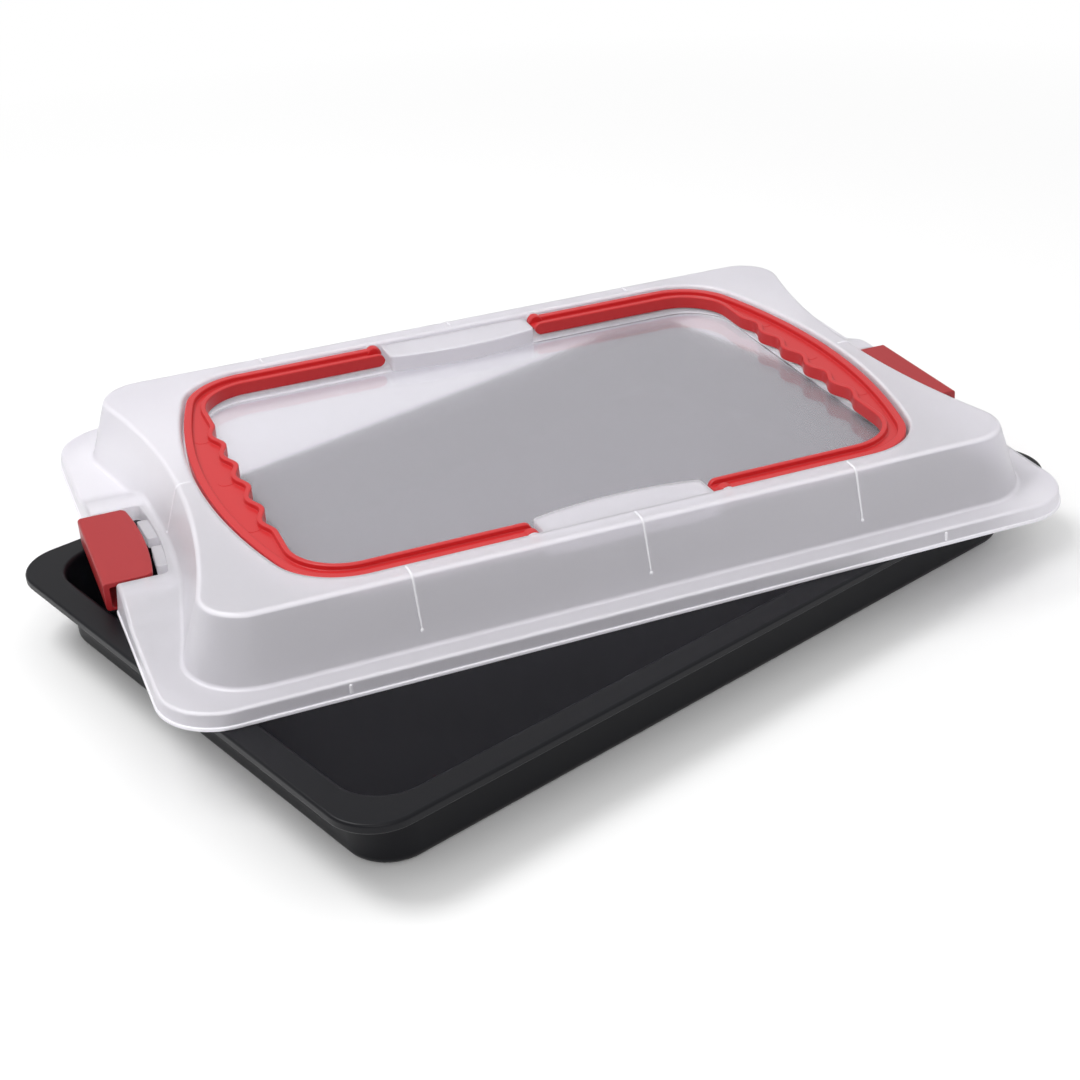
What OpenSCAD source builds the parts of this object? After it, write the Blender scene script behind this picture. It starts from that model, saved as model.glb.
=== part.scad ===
// Sheet-steel baking pan with a frosted carrying lid.
// The lid has two folding bail handles and two hook clips.
// Millimetres, Z up. The origin is the centre of the pan's underside, X runs along the pan.
// The lid lies askew on the pan's rim, as it does when it has just been put down.
// Lid, handles and clips are drawn in the lid's own frame: origin at the centre of its lower
// edge, X along its length. lid_place() turns and lifts that frame onto the pan.

/* [Pan] */
// Length over the rim
pan_len = 420; // [380:1:460]
// Width over the rim
pan_wid = 287; // [270:1:320]
// Height from the underside to the top of the rim
pan_h = 36; // [26:1:60]
// Thickness of the steel sheet
pan_sheet = 0.8; // [0.6:0.1:1.2]
// Radius of the rim's outer corners
rim_corner_r = 22.5; // [16:0.5:30]
// From the rim's outer edge to the inner face of the wall
rim_w = 14.4; // [11:0.2:18]
// Radius of the cavity's corners
cavity_corner_r = 21; // [14:1:28]
// How far the wall leans inwards from the rim to the floor, in degrees
pan_lean = 2.5; // [0:0.5:8]
// Bend between the rim and the wall, on the upper face
rim_bend_r = 2.4; // [1.6:0.2:4]
// Bend between the wall and the floor, on the inner face
floor_bend_r = 4; // [2:0.5:8]
// Height of the lip that is turned down round the rim
lip_h = 4.6; // [3.6:0.2:7]
// Radius of the curl at the lip's lower edge
lip_curl_r = 1.2; // [1:0.1:1.6]

/* [Lid] */
// Gap all round between the pan's rim and the inside of the skirt
skirt_gap = 5.2; // [2:0.2:8]
// Wall of the lid
lid_wall = 1.6; // [1.2:0.1:2]
// Height of the flange's top above the skirt's lower edge
flange_z = 8; // [7:0.5:12]
// Height of the lid over all
lid_h = 38; // [36:1:60]
// Radius of the skirt's corners
skirt_corner_r = 28.6; // [22:0.2:34]
// Width of the flange at the long sides, to the foot of the dome
flange_side_w = 11.9; // [10:0.1:16]
// Lean of the dome's walls, in degrees from upright
dome_lean = 18.4; // [8:0.2:22]
// Width of the flange at the middle of the short sides, where the dome's ends are hollow
flange_end_w = 30.3; // [29:0.1:32]
// Radius of the hollow ends of the dome's top
dome_end_r = 400; // [360:10:600]
// Radius of the corners of the dome's top
dome_corner_r = 20; // [16:1:26]
// Rounding of the dome's top edge
dome_edge_r = 3; // [2:0.5:4]
// Turn of the lid on the pan, in degrees
lid_turn = -18.4; // [-22:0.1:-14]
// Shift of the lid along the pan
lid_shift_x = 22.6; // [15:0.2:30]
// Shift of the lid across the pan
lid_shift_y = 33.2; // [25:0.2:36]

/* [Handles] */
// Width of the dome's top beside the grips, from its edge to the handles' recess
land_end_w = 7.5; // [7:0.1:12]
// Width of the dome's top beside the arms
land_side_w = 8.9; // [8:0.1:14]
// Radius of the bowed grip, seen from above
bail_end_r = 320; // [280:10:400]
// Radius of the handle's outer corners
bail_corner_r = 34; // [28:1:40]
// Width of an arm
arm_w = 12.5; // [11:0.5:14]
// Width of the grip, to the middle of its finger waves
grip_w = 18.5; // [16:0.5:22]
// Height of the handle's ribs
bail_h = 6.8; // [6:0.2:8]
// Width of the outer rib
outer_rib_w = 4; // [3:0.5:5]
// Width of the inner rib
inner_rib_w = 3; // [2:0.5:4]
// Thickness of the web between the ribs
bail_web = 2; // [1.5:0.5:3]
// Distance between two finger waves
wave_pitch = 24.5; // [20:0.5:28]
// Depth of the finger waves, from crest to hollow
wave_depth = 5; // [2:0.5:6]
// Distance of each handle's pivot from the middle of the lid
pivot_x = 46.5; // [44:0.5:50]
// Diameter of the pivot pins
pivot_d = 4; // [3:0.5:5]

/* [Clips] */
// Width of a clip
clip_w = 69; // [50:1:70]
// Reach of a clip's outer face beyond the skirt
clip_proud = 3.7; // [2.8:0.1:4]
// Depth of a clip's top plate, from its outer face to its inner edge at the middle
clip_depth = 25.5; // [24:0.5:27]
// Thickness of the top plate
clip_plate_t = 2.5; // [2:0.1:3]
// Thickness of the outer wall
clip_wall_t = 2.8; // [2:0.1:3.4]
// Thickness of the lip that hooks under the rim
clip_lip_t = 1.3; // [1:0.1:1.4]
// Length of the lip, from the outer face
clip_lip_w = 11.5; // [10:0.5:12]
// Diameter of the clip's hinge pins
clip_pin_d = 3.2; // [2.6:0.2:3.6]

/* [Clearances] */
// Round a pin in its bore, on the radius
pin_fit = 0.06; // [0.03:0.01:0.1]
// Under and round parts that lie in the lid
seat_gap = 0.3; // [0.2:0.05:0.5]
// Between the handles and the walls of their recess
bail_gap = 3; // [2.4:0.2:4]

/* [Hidden] */
$fn = 96;
big = 600;

// Pan, worked out
cavity_x = pan_len / 2 - rim_w;
cavity_y = pan_wid / 2 - rim_w;
tail = 1;                                           // flat part at the end of a section
lip_edge_r = 1.4;                                   // bend between the rim and its lip
wall_in = [-cos(pan_lean), sin(pan_lean)];          // out of the wall, into the cavity
wall_down = [-sin(pan_lean), -cos(pan_lean)];
rim_c = [rim_bend_r, pan_h - rim_bend_r];           // centre of the bend at the rim
wall_drop = (pan_h - pan_sheet - (rim_bend_r + floor_bend_r) * (1 - wall_in[1])) / cos(pan_lean);
floor_c = rim_c + wall_in * (rim_bend_r + floor_bend_r) + wall_down * wall_drop;

// Lid, worked out
lip_side = 2.2;                                     // the bead along the skirt's lower edge
skirt_x = pan_len / 2 + skirt_gap + lid_wall;
skirt_y = pan_wid / 2 + skirt_gap + lid_wall;
skirt_lean = 7;
skirt_edge_r = 2;
dome_foot = (lid_h - flange_z) * tan(dome_lean);    // how far the foot stands out
dome_mid_x = skirt_x - flange_end_w - dome_foot;    // the middle of the dome's hollow ends
dome_y = skirt_y - flange_side_w - dome_foot;
foot_r = 2.5;

// Raised shelf of the flange beside each clip
shelf_z = flange_z + 6;
shelf_half = 50;
shelf_ramp = 18;

// Notch for a clip
notch_half = clip_w / 2 + 1.3;
notch_x = skirt_x - 28.4;
notch_r = 3;
notch_depth = 7.5;
notch_wall = 2;

// Handle recess and window
recess_x = dome_mid_x - land_end_w;
recess_y = dome_y - land_side_w;
bail_reach = recess_x - bail_gap;                   // half length over the two folded handles
bail_half_w = recess_y - bail_gap;                  // half width over their arms
recess_r = bail_corner_r + bail_gap;
recess_end_r = bail_end_r + bail_gap;
recess_edge_r = 2;
bail_top = lid_h - 1.7;
bail_z = bail_top - bail_h;                         // underside of a folded handle
trough_z = bail_z - seat_gap;
window_z = trough_z - 2.2;
window_x = bail_reach - grip_w - wave_depth / 2 - bail_gap;
window_y = bail_half_w - arm_w - bail_gap;
window_r = 26;
pivot_z = bail_z + bail_h / 2 + 0.6;
hub_r = pivot_z - bail_z;
hub_w = outer_rib_w + 0.5;
tip_r = bail_h / 2 - 0.6;                           // round end of the arm beside the hub
boss_r = pivot_d / 2 + 2;
boss_face = bail_half_w + seat_gap + 0.3;

// Bridge blocks between the ends of the handles
block_half = pivot_x - hub_r - 1.5;
block_top = lid_h - 2.5;
block_end_y = bail_half_w - arm_w - 3.5;            // inner face at the block's ends
block_bulge = 4.5;                                  // how far its middle stands out

// Ribs on the outside of the lid
rib_w = 1.2;
rib_h = 0.5;
rib_pitch = 105;
rib_low = flange_z + 7;
rib_dot_r = 1.1;
tick_x = 141;

// Clip, worked out
clip_top = shelf_z + 0.3;
clip_out = skirt_x + clip_proud;
clip_bottom = 0.3;                                  // just above the rim it lies over
clip_inner_x = clip_out - clip_depth;
clip_bulge = 3;                                     // how far the middle of the inner edge stands in
pin_x = clip_inner_x + 6;
pin_z = clip_top - clip_plate_t - clip_pin_d / 2 + 0.4;
barrel_w = 4.5;                                     // round ear of the clip at each pin
barrel_r = clip_pin_d / 2 + 0.8;
pin_reach = notch_half + notch_wall - 0.4;
stop_half = 20;                                     // length of a stop block in the notch
stop_gap = 8;
stop_top = shelf_z - 2.3;
stop_out = notch_x + 4.8;

// Points of an arc, from one angle to another
function arc(c, r, a0, a1, n) =
    [for (i = [0:n]) let (t = a0 + (a1 - a0) * i / n) c + r * [cos(t), sin(t)]];

// Closed outlines with long sides straight and four round corners.
// end_r is 0 for straight ends, above 0 for ends that bow out, below 0 for hollow ends.
function end_center(x, end_r) = x - end_r;
function corner_center_x(x, y, r, end_r) =
    end_r == 0 ? x - r
    : end_r > 0 ? end_center(x, end_r) + sqrt(pow(end_r - r, 2) - pow(y - r, 2))
    : end_center(x, end_r) - sqrt(pow(r - end_r, 2) - pow(y - r, 2));
function corner_start(x, y, r, end_r) =
    end_r == 0 ? 0 : atan((y - r) / (corner_center_x(x, y, r, end_r) - end_center(x, end_r)));

// Copies its children into the four quarters
module quarters() {
    for (m = [0, 1], n = [0, 1])
        mirror([m, 0, 0]) mirror([0, n, 0]) children();
}

// Carries a profile along the outline of a rounded rectangle. In the profile, x is outwards
// and y is up.
module carry(x, y, r) {
    quarters() translate([x - r, y - r, 0])
        rotate_extrude(angle = 90) translate([r, 0]) children();
    for (n = [0, 1]) mirror([0, n, 0])
        translate([r - x, y, 0]) rotate([90, 0, 90]) linear_extrude(2 * (x - r)) children();
    for (m = [0, 1]) mirror([m, 0, 0])
        translate([x, y - r, 0]) rotate([90, 0, 0]) linear_extrude(2 * (y - r)) children();
}

// A closed outline as a filled area, grown outwards by d
module area(x, y, r, end_r = 0, d = 0) {
    cx = corner_center_x(x, y, r, end_r);
    difference() {
        union() {
            quarters() translate([cx, y - r]) circle(r + d);
            square([2 * cx, 2 * (y + d)], center = true);
            square([2 * (cx + (end_r == 0 ? r + d : 0)), 2 * (y - r)], center = true);
            if (end_r != 0) for (m = [0, 1]) mirror([m, 0])
                polygon([[0, r - y], [0, y - r], [cx, y - r],
                         [cx + cos(corner_start(x, y, r, end_r)) * (r + d),
                          y - r + sin(corner_start(x, y, r, end_r)) * (r + d)],
                         [cx + cos(corner_start(x, y, r, end_r)) * (r + d),
                          r - y - sin(corner_start(x, y, r, end_r)) * (r + d)],
                         [cx, r - y]]);
            if (end_r > 0) for (m = [0, 1]) mirror([m, 0]) intersection() {
                translate([end_center(x, end_r), 0]) circle(end_r + d, $fn = 720);
                translate([cx, r - y]) square([2 * r, 2 * (y - r)]);
            }
        }
        if (end_r < 0) for (m = [0, 1]) mirror([m, 0])
            translate([end_center(x, end_r), 0]) circle(-end_r - d, $fn = 720);
    }
}

// Puts what is drawn in the lid's frame onto the pan
module lid_place() {
    translate([lid_shift_x, lid_shift_y, pan_h]) rotate([0, 0, lid_turn]) children();
}

// Section of the pan's wall: a flat tail on the rim, two bends and a flat tail on the floor
module pan_wall_section() {
    polygon(concat(
        [[rim_c[0] + tail, pan_h]],
        arc(rim_c, rim_bend_r, 90, 180 - pan_lean, 4),
        arc(floor_c, floor_bend_r, -pan_lean, -90, 5),
        [[floor_c[0] - tail, pan_sheet], [floor_c[0] - tail, 0]],
        arc(floor_c, floor_bend_r + pan_sheet, -90, -pan_lean, 5),
        arc(rim_c, rim_bend_r - pan_sheet, 180 - pan_lean, 90, 4),
        [[rim_c[0] + tail, pan_h - pan_sheet]]));
}

// Section of the lip: a flat tail, a bend, a short drop and a curl turned in
module lip_section() {
    edge_c = [-lip_edge_r, pan_h - lip_edge_r];
    curl_c = [-lip_curl_r, pan_h - lip_h + lip_curl_r];
    polygon(concat(
        [[-lip_edge_r - tail, pan_h]],
        arc(edge_c, lip_edge_r, 90, 0, 4),
        arc(curl_c, lip_curl_r, 0, -170, 6),
        arc(curl_c, lip_curl_r - pan_sheet, -170, 0, 6),
        arc(edge_c, lip_edge_r - pan_sheet, 0, 90, 4),
        [[-lip_edge_r - tail, pan_h - pan_sheet]]));
}

module pan() {
    color("#2f2e33") {
        carry(pan_len / 2, pan_wid / 2, rim_corner_r) lip_section();
        carry(cavity_x, cavity_y, cavity_corner_r) pan_wall_section();
        translate([0, 0, pan_h - pan_sheet]) linear_extrude(pan_sheet) difference() {
            area(pan_len / 2, pan_wid / 2, rim_corner_r, 0, -lip_edge_r - tail / 2);
            area(cavity_x, cavity_y, cavity_corner_r, 0, rim_c[0] + tail / 2);
        }
        linear_extrude(pan_sheet)
            area(cavity_x, cavity_y, cavity_corner_r, 0, floor_c[0] - tail / 2);
    }
}

// The lid's shell is a loft: a chain of closed rings, each on one of these outlines.
// A ring is [outline, distance outwards, height, share of the raised seats, lean].
skirt_line = [skirt_x, skirt_y, skirt_corner_r, 0];
dome_line = [dome_mid_x, dome_y, dome_corner_r, -dome_end_r];
recess_line = [recess_x, recess_y, recess_r, recess_end_r];
window_line = [window_x, window_y, window_r, 0];

// Where the rings have their points along the ends; between them lie the corners
end_y = [0, 25, shelf_half, for (i = [1:4]) shelf_half + shelf_ramp * i / 4];
corner_steps = 6;

// Height that the flange gains beside a clip: level, then an even ramp down
function gain(y) =
    abs(y) < shelf_half ? shelf_z - flange_z
    : abs(y) > shelf_half + shelf_ramp ? 0
    : (shelf_z - flange_z) * (1 + cos(180 * (abs(y) - shelf_half) / shelf_ramp)) / 2;

// Where an outline, grown by d, passes the height y on its end
function end_x(line, d, y) =
    line[3] == 0 ? line[0] + d
    : line[3] > 0 ? end_center(line[0], line[3]) + sqrt(pow(line[3] + d, 2) - y * y)
    : end_center(line[0], line[3]) - sqrt(pow(d + line[3], 2) - y * y);

// A quarter of a ring, from the middle of the right end to the corner's last point
function quarter(ring) =
    let (line = ring[0], cx = corner_center_x(line[0], line[1], line[2], line[3]),
         a = corner_start(line[0], line[1], line[2], line[3]),
         corner_y = line[1] - line[2] + (line[2] + ring[1]) * sin(a))
    concat(
        [for (y = concat(end_y, (end_y[len(end_y) - 1] + corner_y) / 2))
            let (up = gain(y) * ring[3], d = ring[1] - up * ring[4])
            [end_x(line, d, y), y, ring[2] + up]],
        [for (p = arc([cx, line[1] - line[2]], line[2] + ring[1], a, 90, corner_steps))
            [p[0], p[1], ring[2]]]);

// The whole ring, anticlockwise
function whole(ring) =
    let (q = quarter(ring), last = len(q) - 1)
    concat(
        q,
        [for (i = [last:-1:0]) [-q[i][0], q[i][1], q[i][2]]],
        [for (i = [1:last]) [-q[i][0], -q[i][1], q[i][2]]],
        [for (i = [last:-1:1]) [q[i][0], -q[i][1], q[i][2]]]);

// Shell between neighbouring rings. The first ring closes on the last one. The rings in the
// middle are filled across to their centres, once for the upper face and once for the lower.
module loft(above, below) {
    rings = concat(above, below);
    lines = [for (ring = rings) whole(ring)];
    n = len(lines[0]);
    count = len(rings);
    top = len(above) - 1;
    polyhedron(
        points = concat([for (line = lines, p = line) p],
                        [[0, 0, lines[top][0][2]], [0, 0, lines[top + 1][0][2]]]),
        faces = [
            for (i = [0:n - 1]) let (j = (i + 1) % n) each [
                [count * n, top * n + j, top * n + i],
                [count * n + 1, (top + 1) * n + i, (top + 1) * n + j]],
            for (k = [0:count - 1], i = [0:n - 1])
                let (j = (i + 1) % n, m = k * n, u = (k + 1) % count * n)
                if (k != top) each [[m + i, u + i, m + j], [m + j, u + i, u + j]]]);
}

// Rings of one rounded edge: centre, radius and two angles in the section
function edge_rings(line, c, r, a0, a1, n, share = 0, lean = 0) =
    [for (p = arc(c, r, a0, a1, n)) [line, p[0], p[1], share, lean]];

// Centres of the section's rounded edges
skirt_slope = tan(skirt_lean);
dome_slope = tan(dome_lean);
skirt_c = [-0.5 - skirt_slope * flange_z - skirt_edge_r / cos(skirt_lean) + skirt_slope * skirt_edge_r,
           flange_z - skirt_edge_r];
edge_c = [dome_edge_r * (dome_slope - 1 / cos(dome_lean)), lid_h - dome_edge_r];
foot_c = [dome_foot + foot_r * (1 / cos(dome_lean) - dome_slope), flange_z + foot_r];
recess_c = [recess_edge_r, lid_h - recess_edge_r];

// Outside of the lid, from the skirt's foot over the dome and down into the window
lid_outside = concat(
    [[skirt_line, 0, 0, 0, 0], [skirt_line, 0, 1.2, 0, 0], [skirt_line, -0.7, 1.7, 0, 0]],
    edge_rings(skirt_line, skirt_c, skirt_edge_r, skirt_lean, 90, 3, 1, skirt_slope),
    edge_rings(dome_line, foot_c, foot_r, 270, 180 + dome_lean, 3, 1, dome_slope),
    edge_rings(dome_line, edge_c, dome_edge_r, dome_lean, 90, 3),
    edge_rings(recess_line, recess_c, recess_edge_r, 90, 180, 3),
    [[recess_line, 0, trough_z, 0, 0], [window_line, 0, trough_z, 0, 0],
     [window_line, 0, window_z, 0, 0]]);

// Inside of the lid, one wall deeper, from the window back to the skirt's foot
lid_inside = concat(
    [[window_line, lid_wall, window_z - lid_wall, 0, 0],
     [window_line, lid_wall, trough_z - lid_wall, 0, 0],
     [recess_line, lid_wall, trough_z - lid_wall, 0, 0]],
    edge_rings(recess_line, recess_c, recess_edge_r - lid_wall, 180, 90, 1),
    edge_rings(dome_line, edge_c, dome_edge_r - lid_wall, 90, dome_lean, 2),
    edge_rings(dome_line, foot_c, foot_r + lid_wall, 180 + dome_lean, 270, 2, 1, dome_slope),
    edge_rings(skirt_line, skirt_c, skirt_edge_r - lid_wall, 90, skirt_lean, 1, 1, skirt_slope),
    [[skirt_line, -lip_side, 1.4, 0, 0], [skirt_line, -lip_side, 0, 0, 0]]);

// Plan of one notch, with rounded inner corners
module notch_area(grow) {
    x0 = notch_x - grow;
    half = notch_half + grow;
    r = notch_r + grow;
    translate([x0, -half + r]) square([60, 2 * (half - r)]);
    translate([x0 + r, -half]) square([60, 2 * half]);
    for (s = [-1, 1]) translate([x0 + r, s * (half - r)]) circle(r);
}

// Walls turned down round one notch, which carry the clip's pins, and the stop blocks
module notch_walls() {
    difference() {
        translate([0, 0, shelf_z - notch_depth]) linear_extrude(notch_depth - 0.4) intersection() {
            notch_area(notch_wall);
            translate([0, -big / 2]) square([skirt_x - 4, big]);
        }
        translate([0, 0, -1]) linear_extrude(shelf_z + 2) notch_area(0);
    }
    stop_blocks();
}

// Two blocks at the notch's inner wall that stop the clip's plate
module stop_blocks() {
    for (s = [0, 1]) mirror([0, s, 0]) translate([notch_x - 1, stop_gap / 2, shelf_z - notch_depth])
        cube([stop_out - notch_x + 1, stop_half, stop_top - shelf_z + notch_depth]);
}

// What the notch takes out of the shell: all but the stop blocks
module notch_room() {
    difference() {
        translate([0, 0, -1]) linear_extrude(shelf_z + 2) notch_area(0);
        stop_blocks();
    }
}

// Plan of a bridge block, grown by d
module block_area(d) {
    bulge_r = (pow(block_half, 2) + pow(block_bulge, 2)) / (2 * block_bulge);
    corner = 3;
    intersection() {
        translate([0, bulge_r + block_end_y - block_bulge]) circle(bulge_r + d, $fn = 360);
        union() {
            translate([-block_half - d, block_end_y + corner])
                square([2 * (block_half + d), recess_y + lid_wall / 2 + d - block_end_y - corner]);
            translate([-block_half + corner, block_end_y - block_bulge - d])
                square([2 * (block_half - corner), recess_y - block_end_y]);
            for (s = [-1, 1]) translate([s * (block_half - corner), block_end_y + corner])
                circle(corner + d);
        }
    }
}

// Thin rib over the dome's edge, in the plane across the wall
module rib(reach_in) {
    low_x = (lid_h - rib_low) * dome_slope;
    rotate([90, 0, 0]) translate([0, 0, -rib_w / 2]) linear_extrude(rib_w) polygon(concat(
        [[-reach_in, lid_h - lid_wall / 2], [-reach_in, lid_h + rib_h / 2]],
        arc(edge_c, dome_edge_r + rib_h, 90, dome_lean, 4),
        [[low_x + rib_h / 2, rib_low], [low_x - lid_wall / 2, rib_low],
         [-dome_edge_r, lid_h - dome_edge_r]]));
    translate([low_x - 0.3, 0, rib_low]) sphere(rib_dot_r, $fn = 24);
}

// Bridge block: a hollow raised pad between the ends of the two handles
module bridge_block() {
    translate([0, 0, window_z - lid_wall]) linear_extrude(block_top - window_z + lid_wall)
        intersection() {
            block_area(0);
            translate([-big / 2, 0]) square([big, recess_y + lid_wall / 2]);
        }
}

// The room inside it, open below
module block_room() {
    translate([0, 0, window_z - lid_wall - 1]) linear_extrude(block_top - window_z + 1)
        intersection() {
            block_area(-lid_wall);
            translate([-big / 2, 0]) square([big, recess_y]);
        }
}

module lid() {
    color("#e3e1e6") lid_place() difference() {
        union() {
            loft(lid_outside, lid_inside);
            for (m = [0, 1]) mirror([m, 0, 0]) {
                translate([dome_mid_x, 0, 0]) rib(dome_mid_x - recess_x - recess_edge_r);
                difference() {
                    notch_walls();
                    translate([pin_x, 0, pin_z]) rotate([90, 0, 0])
                        cylinder(h = 2 * notch_half + 20, r = clip_pin_d / 2 + pin_fit, center = true);
                }
            }
            for (n = [0, 1]) mirror([0, n, 0]) {
                bridge_block();
                for (k = [-1:1]) translate([k * rib_pitch, dome_y, 0]) rotate([0, 0, 90])
                    rib(dome_y - recess_y - recess_edge_r);
                for (s = [-1, 1]) translate([s * tick_x - rib_w / 2, skirt_y - 2, 1])
                    cube([rib_w, 2.1, flange_z - 2.4]);
                for (s = [-1, 1]) translate([s * pivot_x, boss_face, pivot_z]) rotate([-90, 0, 0])
                    cylinder(h = recess_y - boss_face + lid_wall / 2, r = boss_r);
            }
        }
        for (m = [0, 1]) mirror([m, 0, 0]) notch_room();
        for (n = [0, 1]) mirror([0, n, 0]) block_room();
        for (m = [0, 1], n = [0, 1]) mirror([m, 0, 0]) mirror([0, n, 0])
            translate([pivot_x, boss_face - 1, pivot_z]) rotate([-90, 0, 0])
                cylinder(h = recess_y + lid_wall - boss_face + 2, r = pivot_d / 2 + pin_fit);
    }
}

// Inner edge of the grip: finger waves along the middle, straight towards the corners
wave_half = 2.5 * wave_pitch;
grip_in = bail_reach - grip_w;
function wave_x(y) =
    grip_in + (abs(y) < wave_half ? wave_depth / 2 * cos(360 * y / wave_pitch) : 0);
function wave_line(shift) =
    [for (i = [-40:40]) let (y = i * wave_half / 40) [wave_x(y) + shift, y]];

// Plan of a handle's outside, grown inwards by d
module bail_outer(d) {
    area(bail_reach, bail_half_w, bail_corner_r, bail_end_r, -d);
}

// Plan of the opening inside a handle, shrunk by d
module bail_inner(d) {
    half = bail_half_w - arm_w + d;
    r = 26;
    x = grip_in + d - wave_depth / 2;
    translate([-big, -half]) square([big + x - r, 2 * half]);
    translate([-1, -half + r]) square([x + 1, 2 * (half - r)]);
    for (s = [-1, 1]) translate([x - r, s * (half - r)]) circle(r);
    polygon(concat([[0, -wave_half]], wave_line(d), [[0, wave_half]]));
}

// The part of a handle's plan from the pivots outwards
module bail_half() {
    translate([pivot_x, -big / 2]) square([big, big]);
}

module handle_bars() {
    // Web with its two ribs
    linear_extrude(bail_h) intersection() {
        difference() {
            bail_outer(0);
            bail_outer(outer_rib_w);
        }
        bail_half();
    }
    linear_extrude(bail_h) intersection() {
        difference() {
            bail_inner(inner_rib_w);
            bail_inner(0);
        }
        bail_outer(outer_rib_w / 2);
        bail_half();
    }
    translate([0, 0, (bail_h - bail_web) / 2]) linear_extrude(bail_web) intersection() {
        difference() {
            bail_outer(outer_rib_w / 2);
            bail_inner(inner_rib_w / 2);
        }
        bail_half();
    }
}

// One handle, the right one: bars, and at each end a hub with its pin
module bail() {
    translate([0, 0, bail_z]) handle_bars();
    for (n = [0, 1]) mirror([0, n, 0]) translate([pivot_x, 0, pivot_z]) rotate([-90, 0, 0]) {
        translate([0, 0, bail_half_w - hub_w]) cylinder(h = hub_w, r = hub_r);
        translate([0, pivot_z - bail_z - tip_r - 0.6, bail_half_w - arm_w])
            cylinder(h = arm_w, r = tip_r);
        translate([0, 0, bail_half_w - 1])
            cylinder(h = recess_y + lid_wall - 0.4 - bail_half_w + 1, r = pivot_d / 2);
    }
}

module handle_left() {
    color("#c8403f") lid_place() mirror([1, 0, 0]) bail();
}

module handle_right() {
    color("#c8403f") lid_place() bail();
}

// Plan of a clip's top plate: rounded corners and an inner edge that bulges
module clip_area() {
    half = clip_w / 2;
    inner_r = (pow(half, 2) + pow(clip_bulge, 2)) / (2 * clip_bulge);
    intersection() {
        union() {
            translate([clip_inner_x - 1, -half + 3]) square([clip_depth + 1, clip_w - 6]);
            translate([clip_inner_x + 5, -half]) square([clip_depth - 5, clip_w]);
            for (s = [-1, 1]) translate([clip_inner_x + 5, s * (half - 3)]) circle(3);
        }
        translate([clip_inner_x + inner_r, 0]) circle(inner_r, $fn = 360);
    }
}

// Section of the hook: plate, outer wall and lip, with round outer edges
module hook_section() {
    edge = 1.8;
    inner = edge + 0.2;
    difference() {
        union() {
            translate([clip_inner_x - 1, clip_bottom])
                square([clip_depth + 1 - edge, clip_top - clip_bottom]);
            translate([clip_out - inner, clip_bottom + inner])
                square([inner, clip_top - clip_bottom - edge - inner]);
            translate([clip_out - edge, clip_top - edge]) circle(edge);
            translate([clip_out - inner, clip_bottom + inner]) circle(inner);
        }
        translate([0, clip_bottom + clip_lip_t])
            square([clip_out - clip_wall_t, clip_top - clip_plate_t - clip_bottom - clip_lip_t]);
        translate([0, clip_bottom - 1]) square([clip_out - clip_lip_w, clip_lip_t + 2]);
    }
}

// One clip, the right one: the hook, and at each end an ear with its pin
module clip() {
    intersection() {
        translate([0, clip_w / 2, 0]) rotate([90, 0, 0]) linear_extrude(clip_w) hook_section();
        translate([0, 0, clip_bottom - 1]) linear_extrude(clip_top - clip_bottom + 2) clip_area();
    }
    for (s = [0, 1]) mirror([0, s, 0]) translate([pin_x, 0, pin_z]) rotate([-90, 0, 0]) {
        translate([0, 0, clip_w / 2 - barrel_w]) cylinder(h = barrel_w, r = barrel_r);
        translate([0, 0, clip_w / 2 - 1])
            cylinder(h = pin_reach - clip_w / 2 + 1, r = clip_pin_d / 2);
    }
}

module clip_left() {
    color("#c03a3c") lid_place() mirror([1, 0, 0]) clip();
}

module clip_right() {
    color("#c03a3c") lid_place() clip();
}

pan();
lid();
handle_left();
handle_right();
clip_left();
clip_right();
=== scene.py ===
import math

import bmesh
import bpy
import numpy as np
from mathutils import Matrix, Vector


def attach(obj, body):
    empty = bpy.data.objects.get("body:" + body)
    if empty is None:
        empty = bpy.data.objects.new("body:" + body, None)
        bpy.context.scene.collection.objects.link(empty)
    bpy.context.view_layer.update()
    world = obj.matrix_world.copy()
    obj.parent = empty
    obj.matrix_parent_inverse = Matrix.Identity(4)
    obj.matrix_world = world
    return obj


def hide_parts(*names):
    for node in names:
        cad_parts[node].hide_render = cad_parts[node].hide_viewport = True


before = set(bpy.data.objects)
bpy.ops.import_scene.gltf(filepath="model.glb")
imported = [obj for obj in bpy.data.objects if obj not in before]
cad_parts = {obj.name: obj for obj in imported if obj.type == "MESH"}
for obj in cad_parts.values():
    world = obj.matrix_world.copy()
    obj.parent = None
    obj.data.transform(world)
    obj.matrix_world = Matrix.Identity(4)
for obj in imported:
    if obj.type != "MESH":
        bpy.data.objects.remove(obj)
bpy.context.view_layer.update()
print("frame loaded")

mm = 0.001


# Turns an sRGB hex colour into the linear values that shader sockets want: a dark value over
# 12.92, and any other by a power of 2.4
def linearColour(hexText):
    parts = [int(hexText[i:i + 2], 16) / 255 for i in (1, 3, 5)]
    return [c / 12.92 if c <= 0.04045 else ((c + 0.055) / 1.055) ** 2.4 for c in parts] + [1.0]


# Adds a node, sets its fields and socket values, and links its inputs
def addNode(tree, kind, fields=None, values=None, links=None):
    node = tree.nodes.new(kind)
    for key, value in (fields or {}).items():
        setattr(node, key, value)
    for key, value in (values or {}).items():
        node.inputs[key].default_value = value
    for key, source in (links or {}).items():
        tree.links.new(source, node.inputs[key])
    return node


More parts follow.
